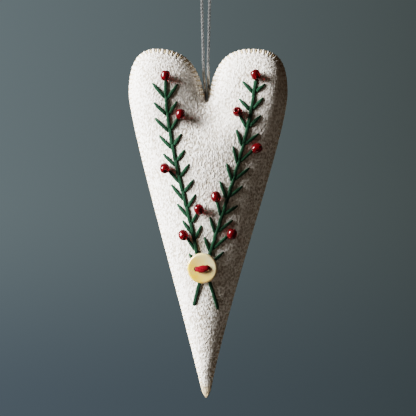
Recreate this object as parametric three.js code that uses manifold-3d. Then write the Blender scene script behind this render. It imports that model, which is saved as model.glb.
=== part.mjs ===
// A stuffed felt heart ornament with two embroidered sprigs, glass beads,
// a sewn-on button and a hanging loop. Millimetres, +Z up, the front faces -Y.
// The origin is the inside of the loop's top, where a hook or a twig bears.
import * as THREE from "three";
import { mergeVertices } from "three/addons/utils/BufferGeometryUtils.js";
import Module from "manifold-3d";

// Felt heart. Places on it are shares: across from the middle in halves of
// the width, and up from the tip in the height.
const HEART_WIDTH = 66;
const HEART_HEIGHT = 146;
const HEART_DEPTH = 27;
const FELT_EDGE = 1.2;
const CROWN_FULLNESS = 0.52;
const TIP_SLIMMING = 0.62;
const TIP_REACH = 38;
const OUTLINE_STEPS = 46;
const PANEL_STEPS = 6;
const SPINE_LAG = 1.6;

// Where the stuffing makes the crown fuller or lets it dip, and by what share.
const SWELLS = [
  { at: [1, 0.86], reach: [0.31, 0.14], amount: 0.46 },
  { at: [-0.8, 0.865], reach: [0.29, 0.12], amount: 0.2 },
  { at: [-0.03, 0.812], reach: [0.33, 0.06], amount: -0.35 },
];

// Room between pieces that touch in the real ornament.
const GAP = 0.3;

// Embroidery floss.
const STEM_WIDTH = 1.4;
const LEAF_WIDTH = 1.3;
const THREAD_SIDES = 6;
const STEM_STEPS = 16;

// Glass beads.
const BEAD_DIAMETER = 3.9;
const BEAD_LENGTH = 4.2;
const BEAD_HOLE = 1.2;
const BEAD_ROUND = 1.1;
const BEAD_SIDES = 8;

// Button and the thread that ties it on.
const BUTTON_DIAMETER = 12.7;
const BUTTON_THICKNESS = 2.6;
const BUTTON_DISH = 0.12;
const BUTTON_RIM = 1.5;
const BUTTON_ROUND = 0.9;
const BUTTON_SIDES = 24;
const BUTTON_TURN = 6;
const HOLE_DIAMETER = 1.9;
const HOLE_SPACING = 4.4;
const HOLE_SLANT = 8;
const TIE_WIDTH = 2.5;
const TIE_RISE = 1.1;

// Hanging loop, down from the hook to the cleft, and its ends in the seam.
const LOOP_THREAD = 1;
const LOOP_DROP = 54;
const LOOP_SEWN_IN = 6;
const LOOP_SIDES = 8;
const LOOP_STEPS = 64;

const COLORS = {
  felt: 0xece7dc,
  floss: 0x1f5a3c,
  bead: 0x9c1018,
  button: 0xded3a6,
  tie: 0xb01024,
  loop: 0x9a9a98,
};

// Each side of the outline leaves the cleft, rounds the top of its lobe and
// its widest place and runs down to the tip. The pulls are the handles of the
// curves between those places.
const CLEFT = [0, 0.849];
const TIP = [0, 0];
const OUTLINE = {
  left: {
    side: -1,
    cleftPull: [0.082, 0.926],
    topPullIn: 0.165,
    top: [0.634, 1],
    topPullOut: 0.856,
    widest: [0.985, 0.875],
    widestPullUp: 0.965,
    widestPullDown: 0.783,
    tipPull: [0.336, 0.287],
    tipStart: [0.058, 0.018],
  },
  right: {
    side: 1,
    cleftPull: [0.095, 0.934],
    topPullIn: 0.162,
    top: [0.574, 1],
    topPullOut: 0.889,
    widest: [1.027, 0.876],
    widestPullUp: 0.974,
    widestPullDown: 0.758,
    tipPull: [0.296, 0.308],
    tipStart: [0.055, 0.022],
  },
};

// A sprig's stem is one curve from inside its top bead to under the button. A
// row of leaves gives where its first leaf leaves the stem, the pitch down the
// stem, and from the top down where each leaf was sewn to. The leaves in
// beadStalks end in a bead.
const SPRIGS = {
  left: {
    stem: [[-0.518, 0.915], [-0.523, 0.717], [-0.14, 0.5], [-0.092, 0.37]],
    rows: [
      {
        side: -1,
        first: 0.856,
        pitch: 0.0481,
        tips: [
          [-0.677, 0.897], [-0.66, 0.842], [-0.645, 0.798], [-0.59, 0.749], [-0.541, 0.697],
          [-0.496, 0.658], [-0.44, 0.61], [-0.364, 0.555], [-0.297, 0.507], [-0.27, 0.469],
          [-0.215, 0.413],
        ],
        beadStalks: [5, 9],
      },
      {
        side: 1,
        first: 0.852,
        pitch: 0.0439,
        tips: [
          [-0.367, 0.894], [-0.371, 0.845], [-0.338, 0.808], [-0.318, 0.753], [-0.274, 0.708],
          [-0.217, 0.668], [-0.16, 0.624], [-0.138, 0.582], [-0.088, 0.541], [-0.064, 0.494],
        ],
        beadStalks: [2, 8],
      },
    ],
  },
  right: {
    stem: [[0.62, 0.918], [0.552, 0.734], [0.173, 0.525], [-0.012, 0.37]],
    rows: [
      {
        side: -1,
        first: 0.87,
        pitch: 0.0498,
        tips: [
          [0.454, 0.902], [0.412, 0.852], [0.398, 0.815], [0.373, 0.765], [0.33, 0.718],
          [0.251, 0.669], [0.166, 0.619], [0.113, 0.577], [0.042, 0.517], [-0.026, 0.46],
        ],
        beadStalks: [2, 7],
      },
      {
        side: 1,
        first: 0.872,
        pitch: 0.0494,
        tips: [
          [0.731, 0.894], [0.709, 0.856], [0.679, 0.806], [0.649, 0.754], [0.614, 0.715],
          [0.534, 0.657], [0.448, 0.605], [0.388, 0.55], [0.325, 0.509], [0.302, 0.472],
          [0.213, 0.419],
        ],
        beadStalks: [4, 9],
      },
    ],
  },
};

// The button, and the stems' ends below it.
const BUTTON_AT = [-0.041, 0.376];
const TAILS = {
  left: [[-0.08, 0.338], [-0.157, 0.266]],
  right: [[0.034, 0.338], [0.144, 0.256]],
};

// How each sprig's beads lie, from the top bead down, in degrees: the turn of
// the hole from the stalk, clockwise, and how far the hole's outer end rises
// off the felt. At a negative rise the end at the stalk faces the front.
const BEAD_POSES = {
  left: [[0, 15], [-30, 10], [0, -50], [-50, 20], [0, -35]],
  right: [[-30, 10], [0, 75], [20, 10], [0, -25], [-40, 10]],
};

// The loop's route from the seam on the right, over the hook and down to the
// seam on the left: across and up from the hook, in shares of the drop.
const LOOP_ROUTE = [
  [0.0165, -1], [0.0158, -0.91], [0.014, -0.82], [0.0125, -0.72], [0.0148, -0.61],
  [0.0184, -0.5], [0.0203, -0.39], [0.0232, -0.28], [0.0285, -0.17], [0.036, -0.09],
  [0.04, -0.04], [0.0346, -0.02], [0.02, -0.0054], [0, 0], [-0.02, -0.0054],
  [-0.0346, -0.02], [-0.04, -0.04], [-0.0395, -0.09], [-0.0365, -0.17], [-0.0345, -0.28],
  [-0.032, -0.39], [-0.0292, -0.5], [-0.0265, -0.61], [-0.0245, -0.72],
  [-0.0195, -0.82], [-0.0095, -0.91], [-0.008, -1],
];

const wasm = await Module();
wasm.setup();

const radians = THREE.MathUtils.degToRad;
const counting = (count) => [...Array(count).keys()];

function place([across, up]) {
  return new THREE.Vector2((across * HEART_WIDTH) / 2, up * HEART_HEIGHT);
}

function toSolid(geometry) {
  const bare = geometry.clone();
  bare.deleteAttribute("normal");
  bare.deleteAttribute("uv");
  const merged = mergeVertices(bare, 1e-4);
  const index = merged.index.array;
  const triangles = [];
  for (let i = 0; i < index.length; i += 3) {
    const [a, b, c] = index.slice(i, i + 3);
    if (a !== b && b !== c && c !== a) triangles.push(a, b, c);
  }
  const mesh = new wasm.Mesh({
    numProp: 3,
    vertProperties: new Float32Array(merged.attributes.position.array),
    triVerts: new Uint32Array(triangles),
  });
  return new wasm.Manifold(mesh);
}

function toGeometry(solid) {
  const mesh = solid.getMesh();
  const geometry = new THREE.BufferGeometry();
  geometry.setAttribute("position", new THREE.BufferAttribute(mesh.vertProperties, 3));
  geometry.setIndex(new THREE.BufferAttribute(mesh.triVerts, 1));
  geometry.computeVertexNormals();
  return geometry;
}

function piece(name, geometry, color, roughness) {
  const material = new THREE.MeshStandardMaterial({ color, roughness, metalness: 0 });
  const mesh = new THREE.Mesh(geometry, material);
  mesh.name = name;
  return mesh;
}

function edgeOf({ side, ...places }) {
  const at = (across, up) => place([side * across, up]).toArray();
  const path = new THREE.Path();
  path.moveTo(...place(CLEFT).toArray());
  path.bezierCurveTo(
    ...at(...places.cleftPull),
    ...at(places.topPullIn, places.top[1]),
    ...at(...places.top),
  );
  path.bezierCurveTo(
    ...at(places.topPullOut, places.top[1]),
    ...at(places.widest[0], places.widestPullUp),
    ...at(...places.widest),
  );
  path.bezierCurveTo(
    ...at(places.widest[0], places.widestPullDown),
    ...at(...places.tipPull),
    ...at(...places.tipStart),
  );
  path.quadraticCurveTo(...at(places.tipStart[0] / 3, 0), ...place(TIP).toArray());
  return outlineShares.map((share) => path.getPointAt(share));
}

// Steps along an edge, closer together towards the cleft and the tip.
const outlineShares = counting(OUTLINE_STEPS + 1).map((i) => {
  const even = i / OUTLINE_STEPS;
  const eased = (1 - Math.cos(even * Math.PI)) / 2;
  return THREE.MathUtils.lerp(even, eased, 0.7);
});

const leftEdge = edgeOf(OUTLINE.left);
const rightEdge = edgeOf(OUTLINE.right);
const outline = [...leftEdge, ...rightEdge.slice(1, -1).reverse()];
const spine = outlineShares.map((share) => place(CLEFT).lerp(place(TIP), share ** SPINE_LAG));

// A smooth distance to the outline: it is the distance itself beside the edge
// and levels off inside, the way stuffing fills a sewn shape.
function depthInside({ x, y }) {
  let sum = 0;
  let [ax, ay] = [outline.at(-1).x - x, outline.at(-1).y - y];
  let near = Math.hypot(ax, ay);
  for (const corner of outline) {
    const [bx, by] = [corner.x - x, corner.y - y];
    const far = Math.hypot(bx, by);
    const halfTurn = (ax * by - ay * bx) / (near * far + ax * bx + ay * by);
    sum += halfTurn * (1 / near + 1 / far);
    [ax, ay, near] = [bx, by, far];
  }
  return 2 / Math.abs(sum);
}

const fullest = Math.max(...spine.slice(1, -1).map(depthInside));

function swell(point) {
  const parts = SWELLS.map(({ at, reach, amount }) => {
    const away = point.clone().sub(place(at)).divide(place(reach));
    return amount * Math.exp(-away.lengthSq());
  });
  return parts.reduce((sum, part) => sum + part, 1);
}

// How far the felt stands out from the seam: less towards the slim tip.
function crown(point) {
  const share = Math.min(1, depthInside(point) / fullest);
  const slimming = 1 - TIP_SLIMMING * Math.exp(-Math.max(0, point.y) / TIP_REACH);
  const stuffing = HEART_DEPTH / 2 - FELT_EDGE;
  return FELT_EDGE + stuffing * slimming * share ** CROWN_FULLNESS * swell(point);
}

// A point on the front, lifted off the felt along its normal.
function onFelt(point, lift) {
  const step = 0.5;
  const alongX = new THREE.Vector2(step, 0);
  const alongZ = new THREE.Vector2(0, step);
  const slope = [alongX, alongZ].map(
    (d) => (crown(point.clone().add(d)) - crown(point.clone().sub(d))) / (2 * step),
  );
  const normal = new THREE.Vector3(-slope[0], -1, -slope[1]).normalize();
  const base = new THREE.Vector3(point.x, -GAP / 2 - crown(point), point.y);
  return { position: base.addScaledVector(normal, lift), normal };
}

// One half of the heart: the crowned felt, a flat face at the seam, and the
// felt's own edge between the two. facing is -1 at the front, 1 at the back.
function heartHalf(facing) {
  const positions = [];
  const triangles = [];
  const vertex = (p, away) => {
    positions.push(p.x, facing * (GAP / 2 + away), p.y);
    return positions.length / 3 - 1;
  };
  const face = (a, b, c) => triangles.push(...(facing < 0 ? [a, b, c] : [a, c, b]));

  const inward = counting(PANEL_STEPS + 1).map(
    (j) => 1 - Math.cos(((j / PANEL_STEPS) * Math.PI) / 2),
  );
  const rows = spine.map((middle, i) => {
    if (i === 0 || i === OUTLINE_STEPS) return [vertex(leftEdge[i], FELT_EDGE)];
    const fromLeft = inward.map((r) => leftEdge[i].clone().lerp(middle, r));
    const fromRight = inward.slice(0, -1).map((r) => rightEdge[i].clone().lerp(middle, r));
    const points = [...fromLeft, ...fromRight.reverse()];
    return points.map((p, j) =>
      vertex(p, j === 0 || j === points.length - 1 ? FELT_EDGE : crown(p)),
    );
  });
  for (const i of counting(OUTLINE_STEPS)) {
    const [upper, lower] = [rows[i], rows[i + 1]];
    for (const j of counting(2 * PANEL_STEPS)) {
      const [a, b] = upper.length > 1 ? [upper[j], upper[j + 1]] : [upper[0], upper[0]];
      const [c, d] = lower.length > 1 ? [lower[j], lower[j + 1]] : [lower[0], lower[0]];
      if (c !== d) face(a, c, d);
      if (a !== b) face(a, d, b);
    }
  }

  const felt = [
    ...rows.map((row) => row[0]),
    ...rows.slice(1, -1).reverse().map((row) => row.at(-1)),
  ];
  const seam = outline.map((p) => vertex(p, 0));
  felt.forEach((here, k) => {
    const next = (k + 1) % felt.length;
    face(here, seam[k], seam[next]);
    face(here, seam[next], felt[next]);
  });
  for (const [a, b, c] of THREE.ShapeUtils.triangulateShape(outline, [])) {
    face(seam[a], seam[c], seam[b]);
  }

  const geometry = new THREE.BufferGeometry();
  geometry.setAttribute("position", new THREE.Float32BufferAttribute(positions, 3));
  geometry.setIndex(triangles);
  return toSolid(geometry).subtract(loopChannel());
}

// The room between the layers that the loop's two ends are sewn into.
function loopChannel() {
  const [right, left] = [LOOP_ROUTE[0][0] * LOOP_DROP, LOOP_ROUTE.at(-1)[0] * LOOP_DROP];
  const middle = (right + left) / 2;
  const width = right - left + LOOP_THREAD + 2 * GAP;
  const height = LOOP_SEWN_IN + LOOP_THREAD + GAP;
  const channel = new THREE.BoxGeometry(width, LOOP_THREAD + 2 * GAP, 2 * height);
  channel.translate(middle, 0, CLEFT[1] * HEART_HEIGHT + height - LOOP_SEWN_IN - GAP);
  return toSolid(channel);
}

// A thread of round section: put() turns a share of its length, an offset
// across and an offset outwards into a point.
function thread(length, width, steps, put) {
  const bar = new THREE.CapsuleGeometry(width / 2, length - width, 1, THREAD_SIDES, steps);
  const spots = bar.attributes.position;
  for (const i of counting(spots.count)) {
    const along = THREE.MathUtils.clamp(spots.getY(i) / length + 0.5, 0, 1);
    spots.setXYZ(i, ...put(along, spots.getX(i), spots.getZ(i)).toArray());
  }
  return bar;
}

// A stitch that lies on the front of the felt along a flat curve, from some
// way down it to its end.
function stitch(curve, width, steps, skipped = 0) {
  const length = curve.getLength();
  return thread(length - skipped, width, steps, (share, across, out) => {
    const along = THREE.MathUtils.lerp(skipped / length, 1, share);
    const spot = curve.getPointAt(along);
    const way = curve.getTangentAt(along);
    spot.add(new THREE.Vector2(way.y, -way.x).multiplyScalar(across));
    return onFelt(spot, GAP + width / 2 + out).position;
  });
}

function stemCurve(sprig) {
  return new THREE.CubicBezierCurve(...sprig.stem.map(place));
}

// Where a stem, which runs downwards, passes a height above the tip.
function onStem(curve, height) {
  let [above, below] = [0, 1];
  while (below - above > 1e-4) {
    const middle = (above + below) / 2;
    if (curve.getPoint(middle).y > height) above = middle;
    else below = middle;
  }
  return curve.getPoint(below);
}

function leafOf(curve, row, i) {
  const root = onStem(curve, (row.first - i * row.pitch) * HEART_HEIGHT);
  root.x += (row.side * STEM_WIDTH) / 3;
  const end = place(row.tips[i]);
  return { root, end, way: end.clone().sub(root).normalize() };
}

// The thread that a bead covers, from its middle to clear of its end.
function beadRoom([, riseDegrees]) {
  const rise = radians(Math.abs(riseDegrees));
  return (Math.cos(rise) * BEAD_LENGTH + Math.sin(rise) * BEAD_DIAMETER) / 2 + GAP;
}

function beadGeometry() {
  const inner = BEAD_HOLE / 2;
  const outer = BEAD_DIAMETER / 2;
  const profile = new THREE.Path();
  profile.moveTo(inner, -BEAD_LENGTH / 2);
  profile.lineTo(outer - BEAD_ROUND, -BEAD_LENGTH / 2);
  profile.absarc(outer - BEAD_ROUND, BEAD_ROUND - BEAD_LENGTH / 2, BEAD_ROUND, -Math.PI / 2, 0);
  profile.absarc(outer - BEAD_ROUND, BEAD_LENGTH / 2 - BEAD_ROUND, BEAD_ROUND, 0, Math.PI / 2);
  profile.lineTo(inner, BEAD_LENGTH / 2);
  profile.closePath();
  return new THREE.LatheGeometry(profile.getPoints(2), BEAD_SIDES);
}

// A bead on the felt, its hole turned from the stalk and risen off the felt.
function bead(name, spot, way, [turnDegrees, riseDegrees]) {
  const rise = radians(riseDegrees);
  const halfWidth = (Math.cos(rise) * BEAD_DIAMETER) / 2;
  const halfLength = (Math.abs(Math.sin(rise)) * BEAD_LENGTH) / 2;
  const { position, normal } = onFelt(spot, GAP + halfWidth + halfLength);
  const turned = way.clone().rotateAround(new THREE.Vector2(), -radians(turnDegrees));
  const flat = new THREE.Vector3(turned.x, 0, turned.y).projectOnPlane(normal).normalize();
  const hole = flat.multiplyScalar(Math.cos(rise)).addScaledVector(normal, Math.sin(rise));
  const mesh = piece(name, beadGeometry(), COLORS.bead, 0.12);
  mesh.position.copy(position);
  mesh.quaternion.setFromUnitVectors(new THREE.Vector3(0, 1, 0), hole);
  return mesh;
}

function sprig(name) {
  const plan = SPRIGS[name];
  const curve = stemCurve(plan);
  const poses = [...BEAD_POSES[name]];
  const topPose = poses.shift();
  const beads = [[curve.getPointAt(0), curve.getTangentAt(0).negate(), topPose]];

  const stalks = [];
  let green = toSolid(stitch(curve, STEM_WIDTH, STEM_STEPS, beadRoom(topPose)));
  for (const row of plan.rows) {
    for (const i of counting(row.tips.length)) {
      const { root, way, end } = leafOf(curve, row, i);
      if (row.beadStalks.includes(i)) stalks.push({ root, way, end });
      else green = green.add(toSolid(stitch(new THREE.LineCurve(root, end), LEAF_WIDTH, 2)));
    }
  }
  stalks.sort((a, b) => b.end.y - a.end.y);
  for (const { root, way, end } of stalks) {
    const pose = poses.shift();
    const stalk = new THREE.LineCurve(end, root);
    green = green.add(toSolid(stitch(stalk, LEAF_WIDTH, 2, beadRoom(pose))));
    beads.push([end, way, pose]);
  }
  return [
    piece("sprig_" + name, toGeometry(green), COLORS.floss, 0.75),
    ...beads.map(([spot, way, pose], i) => bead(`bead_${name}_${i + 1}`, spot, way, pose)),
  ];
}

function tail(name) {
  const curve = new THREE.LineCurve(...TAILS[name].map(place));
  return piece("stem_tail_" + name, stitch(curve, STEM_WIDTH, 3), COLORS.floss, 0.75);
}

// The button's section from the middle of its back to the middle of its dish.
function buttonProfile() {
  const outer = BUTTON_DIAMETER / 2;
  const bend = BUTTON_ROUND;
  const profile = new THREE.Path();
  profile.moveTo(0, 0);
  profile.lineTo(outer - bend, 0);
  profile.absarc(outer - bend, bend, bend, -Math.PI / 2, 0);
  profile.absarc(outer - bend, BUTTON_THICKNESS - bend, bend, 0, Math.PI / 2);
  profile.quadraticCurveTo(
    outer - BUTTON_RIM - bend / 2,
    BUTTON_THICKNESS,
    outer - BUTTON_RIM - bend,
    BUTTON_THICKNESS - BUTTON_DISH,
  );
  profile.lineTo(0, BUTTON_THICKNESS - BUTTON_DISH);
  return profile.getPoints(3);
}

function button() {
  const holes = [-1, 1].map((side) => {
    const drill = new THREE.CylinderGeometry(
      HOLE_DIAMETER / 2,
      HOLE_DIAMETER / 2,
      3 * BUTTON_THICKNESS,
      12,
    );
    return toSolid(drill.translate((side * HOLE_SPACING) / 2, 0, 0));
  });
  const disc = toSolid(new THREE.LatheGeometry(buttonProfile(), BUTTON_SIDES));
  const drilled = holes.reduce((solid, hole) => solid.subtract(hole), disc);
  return piece("button", toGeometry(drilled), COLORS.button, 0.3);
}

// The tie comes up out of one hole, fans out over the dish and goes down the
// other. Its legs clear the holes' walls.
function buttonTie() {
  const dish = BUTTON_THICKNESS - BUTTON_DISH;
  const legWidth = HOLE_DIAMETER - 2 * GAP;
  const side = HOLE_SPACING / 2;
  const top = dish + GAP + legWidth / 2;
  const route = [
    [-side, legWidth / 2],
    [-side, dish],
    [-side * 0.8, top + TIE_RISE / 2],
    [0, top + TIE_RISE],
    [side * 0.8, top + TIE_RISE / 2],
    [side, dish],
    [side, legWidth / 2],
  ];
  const curve = new THREE.SplineCurve(route.map(([x, y]) => new THREE.Vector2(x, y)));
  const fan = TIE_WIDTH / legWidth - 1;
  return thread(curve.getLength(), legWidth, 14, (along, across, out) => {
    const spot = curve.getPointAt(along);
    const way = curve.getTangentAt(along);
    const spread = 1 + fan * THREE.MathUtils.smoothstep(spot.y, dish, top);
    return new THREE.Vector3(spot.x - way.y * out, spot.y + way.x * out, across * spread);
  });
}

// The button and its tie lie square to the felt, above the stems' ends.
function buttonGroup() {
  const { position, normal } = onFelt(place(BUTTON_AT), GAP + STEM_WIDTH + GAP);
  const up = new THREE.Vector3(0, 0, 1);
  const out = normal.applyAxisAngle(up, -radians(BUTTON_TURN));
  const right = new THREE.Vector3().crossVectors(out, up).negate().normalize();
  const down = new THREE.Vector3().crossVectors(right, out);
  const group = new THREE.Group();
  group.position.copy(position);
  group.setRotationFromMatrix(new THREE.Matrix4().makeBasis(right, out, down));
  group.rotateY(radians(HOLE_SLANT));
  group.add(button(), piece("button_tie", buttonTie(), COLORS.tie, 0.8));
  return group;
}

function hangingLoop() {
  const seen = LOOP_ROUTE.map(
    ([across, up]) => new THREE.Vector3(across, 0, up).multiplyScalar(LOOP_DROP),
  );
  const sewnIn = new THREE.Vector3(0, 0, -LOOP_SEWN_IN);
  const route = [seen[0].clone().add(sewnIn), ...seen, seen.at(-1).clone().add(sewnIn)];
  const curve = new THREE.CatmullRomCurve3(route);
  const section = new THREE.Shape(
    counting(LOOP_SIDES).map((i) => {
      const angle = (i / LOOP_SIDES) * 2 * Math.PI;
      return new THREE.Vector2(Math.cos(angle), Math.sin(angle)).multiplyScalar(LOOP_THREAD / 2);
    }),
  );
  const tube = new THREE.ExtrudeGeometry(section, { steps: LOOP_STEPS, extrudePath: curve });
  tube.translate(0, 0, LOOP_THREAD / 2);
  return piece("hanging_loop", tube, COLORS.loop, 0.6);
}

const heart = new THREE.Group();
heart.position.z = -LOOP_DROP - CLEFT[1] * HEART_HEIGHT;
heart.add(
  piece("felt_front", toGeometry(heartHalf(-1)), COLORS.felt, 0.95),
  piece("felt_back", toGeometry(heartHalf(1)), COLORS.felt, 0.95),
  ...sprig("left"),
  ...sprig("right"),
  tail("left"),
  tail("right"),
  buttonGroup(),
);

const ornament = new THREE.Group();
ornament.add(heart, hangingLoop());

export default ornament;
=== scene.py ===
"""Looks of the stuffed felt heart ornament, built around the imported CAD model.

Shapes are worked out in millimetres in the heart's own frame: x to the right,
y to the back and z up from the tip, with the seam at y = 0. A mesh is made in
the part's frame: metres, from the inside of the loop's top, front facing -Y.
"""

import math

import bmesh
import bpy
import numpy as np
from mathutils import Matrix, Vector, noise


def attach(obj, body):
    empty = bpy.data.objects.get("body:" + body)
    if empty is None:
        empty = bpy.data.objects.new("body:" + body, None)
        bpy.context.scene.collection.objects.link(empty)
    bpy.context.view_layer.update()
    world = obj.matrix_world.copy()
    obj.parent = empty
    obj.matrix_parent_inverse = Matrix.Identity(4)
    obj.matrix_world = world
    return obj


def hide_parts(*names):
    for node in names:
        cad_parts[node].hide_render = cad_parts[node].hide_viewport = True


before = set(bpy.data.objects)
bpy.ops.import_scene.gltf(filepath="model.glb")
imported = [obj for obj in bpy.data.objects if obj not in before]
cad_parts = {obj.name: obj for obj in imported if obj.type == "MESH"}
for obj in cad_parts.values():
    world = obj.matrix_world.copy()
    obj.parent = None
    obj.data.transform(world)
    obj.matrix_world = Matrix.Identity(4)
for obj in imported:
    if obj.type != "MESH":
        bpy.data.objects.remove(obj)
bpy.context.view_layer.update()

MM = 0.001

# The part's own values, as in its source. Places on the heart are shares:
# across from the middle in halves of the width, and up in the height.
HEART_WIDTH = 66
HEART_HEIGHT = 146
HEART_DEPTH = 27
FELT_EDGE = 1.2
CROWN_FULLNESS = 0.52
TIP_SLIMMING = 0.62
TIP_REACH = 38
SPINE_LAG = 1.6
SWELLS = [
    ((1.0, 0.86), (0.31, 0.14), 0.46),
    ((-0.8, 0.865), (0.29, 0.12), 0.2),
    ((-0.03, 0.812), (0.33, 0.06), -0.35),
]
GAP = 0.3
STEM_WIDTH = 1.4
LEAF_WIDTH = 1.3
BEAD_DIAMETER = 3.9
BEAD_LENGTH = 4.2
BEAD_HOLE = 1.2
BUTTON_DIAMETER = 12.7
BUTTON_THICKNESS = 2.6
BUTTON_DISH = 0.12
BUTTON_RIM = 1.5
BUTTON_ROUND = 0.9
BUTTON_TURN = 6
HOLE_DIAMETER = 1.9
HOLE_SPACING = 4.4
HOLE_SLANT = 8
TIE_RISE = 1.1
LOOP_THREAD = 1
LOOP_DROP = 54
LOOP_SEWN_IN = 6

CLEFT = (0, 0.849)
TIP = (0, 0)
OUTLINE = {
    "left": {
        "side": -1,
        "cleft_pull": (0.082, 0.926),
        "top_pull_in": 0.165,
        "top": (0.634, 1),
        "top_pull_out": 0.856,
        "widest": (0.985, 0.875),
        "widest_pull_up": 0.965,
        "widest_pull_down": 0.783,
        "tip_pull": (0.336, 0.287),
        "tip_start": (0.058, 0.018),
    },
    "right": {
        "side": 1,
        "cleft_pull": (0.095, 0.934),
        "top_pull_in": 0.162,
        "top": (0.574, 1),
        "top_pull_out": 0.889,
        "widest": (1.027, 0.876),
        "widest_pull_up": 0.974,
        "widest_pull_down": 0.758,
        "tip_pull": (0.296, 0.308),
        "tip_start": (0.055, 0.022),
    },
}

# A row of leaves: the side, the first leaf's height on the stem, the pitch
# down the stem, the sewn tips from the top down, and which end in a bead.
SPRIGS = {
    "left": {
        "stem": [(-0.518, 0.915), (-0.523, 0.717), (-0.14, 0.5), (-0.092, 0.37)],
        "rows": [
            (
                -1, 0.856, 0.0481,
                [
                    (-0.677, 0.897), (-0.66, 0.842), (-0.645, 0.798), (-0.59, 0.749),
                    (-0.541, 0.697), (-0.496, 0.658), (-0.44, 0.61), (-0.364, 0.555),
                    (-0.297, 0.507), (-0.27, 0.469), (-0.215, 0.413),
                ],
                (5, 9),
            ),
            (
                1, 0.852, 0.0439,
                [
                    (-0.367, 0.894), (-0.371, 0.845), (-0.338, 0.808), (-0.318, 0.753),
                    (-0.274, 0.708), (-0.217, 0.668), (-0.16, 0.624), (-0.138, 0.582),
                    (-0.088, 0.541), (-0.064, 0.494),
                ],
                (2, 8),
            ),
        ],
    },
    "right": {
        "stem": [(0.62, 0.918), (0.552, 0.734), (0.173, 0.525), (-0.012, 0.37)],
        "rows": [
            (
                -1, 0.87, 0.0498,
                [
                    (0.454, 0.902), (0.412, 0.852), (0.398, 0.815), (0.373, 0.765),
                    (0.33, 0.718), (0.251, 0.669), (0.166, 0.619), (0.113, 0.577),
                    (0.042, 0.517), (-0.026, 0.46),
                ],
                (2, 7),
            ),
            (
                1, 0.872, 0.0494,
                [
                    (0.731, 0.894), (0.709, 0.856), (0.679, 0.806), (0.649, 0.754),
                    (0.614, 0.715), (0.534, 0.657), (0.448, 0.605), (0.388, 0.55),
                    (0.325, 0.509), (0.302, 0.472), (0.213, 0.419),
                ],
                (4, 9),
            ),
        ],
    },
}
BEAD_POSES = {
    "left": [(0, 15), (-30, 10), (0, -50), (-50, 20), (0, -35)],
    "right": [(-30, 10), (0, 75), (20, 10), (0, -25), (-40, 10)],
}
BUTTON_AT = (-0.041, 0.376)
TAILS = {
    "left": [(-0.08, 0.338), (-0.157, 0.266)],
    "right": [(0.034, 0.338), (0.144, 0.256)],
}
LOOP_ROUTE = [
    (0.0165, -1), (0.0158, -0.91), (0.014, -0.82), (0.0125, -0.72), (0.0148, -0.61),
    (0.0184, -0.5), (0.0203, -0.39), (0.0232, -0.28), (0.0285, -0.17), (0.036, -0.09),
    (0.04, -0.04), (0.0346, -0.02), (0.02, -0.0054), (0, 0), (-0.02, -0.0054),
    (-0.0346, -0.02), (-0.04, -0.04), (-0.0395, -0.09), (-0.0365, -0.17), (-0.0345, -0.28),
    (-0.032, -0.39), (-0.0292, -0.5), (-0.0265, -0.61), (-0.0245, -0.72),
    (-0.0195, -0.82), (-0.0095, -0.91), (-0.008, -1),
]

# Sewn felt: how it sits about the stitches, in millimetres.
FELT_FULLER = 0.35
SEAM_EASE = 0.45
STITCH_PITCH = 2.07
LOBE_BITE = 2.1
SIDE_BITE = 1.3
LOBE_STRETCH = (46, 64)
SIDE_DRAW = 0.12
TIP_STRETCH = 14
PINCH_WIDTH = 0.6
PINCH_DEPTH = 0.5
EDGE_DRAW = 0.3
TIP_FLATNESS = 0.55
FLOSS_SINK = 0.03
BEAD_SINK = 0.55
BEAD_DENT = 0.3
BEAD_DENT_REACH = 1.6
BUTTON_DENT = 0.5
BUTTON_DENT_REACH = 8
NAP_HEIGHT = 0.02
TWIST_FULLER = 1.25

ORIGIN = np.array([0, 0, LOOP_DROP + CLEFT[1] * HEART_HEIGHT])
random = np.random.default_rng(7)


def unit(arrows):
    return arrows / np.linalg.norm(arrows, axis=-1, keepdims=True)


def place(shares):
    return np.array(shares, float) * (HEART_WIDTH / 2, HEART_HEIGHT)


def bezier(handles, count=240):
    share = np.linspace(0, 1, count)[:, None]
    level = [np.tile(handle, (count, 1)) for handle in np.array(handles, float)]
    while len(level) > 1:
        level = [a + (b - a) * share for a, b in zip(level, level[1:])]
    return level[0]


def run_of(line):
    """How far along a line each of its points is."""
    steps = np.linalg.norm(np.diff(line, axis=0), axis=1)
    return np.append(0, np.cumsum(steps))


def resampled(line, shares):
    run = run_of(line)
    wanted = np.asarray(shares) * run[-1]
    return np.column_stack([np.interp(wanted, run, part) for part in line.T])


def edge_line(plan):
    """One side of the heart, from the cleft to the tip."""
    def at(across, up):
        return place((plan["side"] * across, up))

    top, widest, start = plan["top"], plan["widest"], plan["tip_start"]
    stretches = [
        bezier([place(CLEFT), at(*plan["cleft_pull"]), at(plan["top_pull_in"], top[1]), at(*top)]),
        bezier([
            at(*top),
            at(plan["top_pull_out"], top[1]),
            at(widest[0], plan["widest_pull_up"]),
            at(*widest),
        ]),
        bezier([
            at(*widest),
            at(widest[0], plan["widest_pull_down"]),
            at(*plan["tip_pull"]),
            at(*start),
        ]),
        bezier([at(*start), at(start[0] / 3, 0), place(TIP)]),
    ]
    return np.vstack([stretches[0], *[stretch[1:] for stretch in stretches[1:]]])


EDGES = {name: edge_line(plan) for name, plan in OUTLINE.items()}


def edge_shares(steps, easing=0.7):
    """Steps along an edge, closer together towards the cleft and the tip."""
    even = np.linspace(0, 1, steps + 1)
    eased = (1 - np.cos(even * np.pi)) / 2
    return even + (eased - even) * easing


def spine_at(shares):
    return place(CLEFT) + (place(TIP) - place(CLEFT)) * (shares ** SPINE_LAG)[:, None]


def corners_of(steps):
    left, right = [resampled(EDGES[name], edge_shares(steps)) for name in ("left", "right")]
    return np.vstack([left, right[1:-1][::-1]])


CORNERS = corners_of(150)


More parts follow.
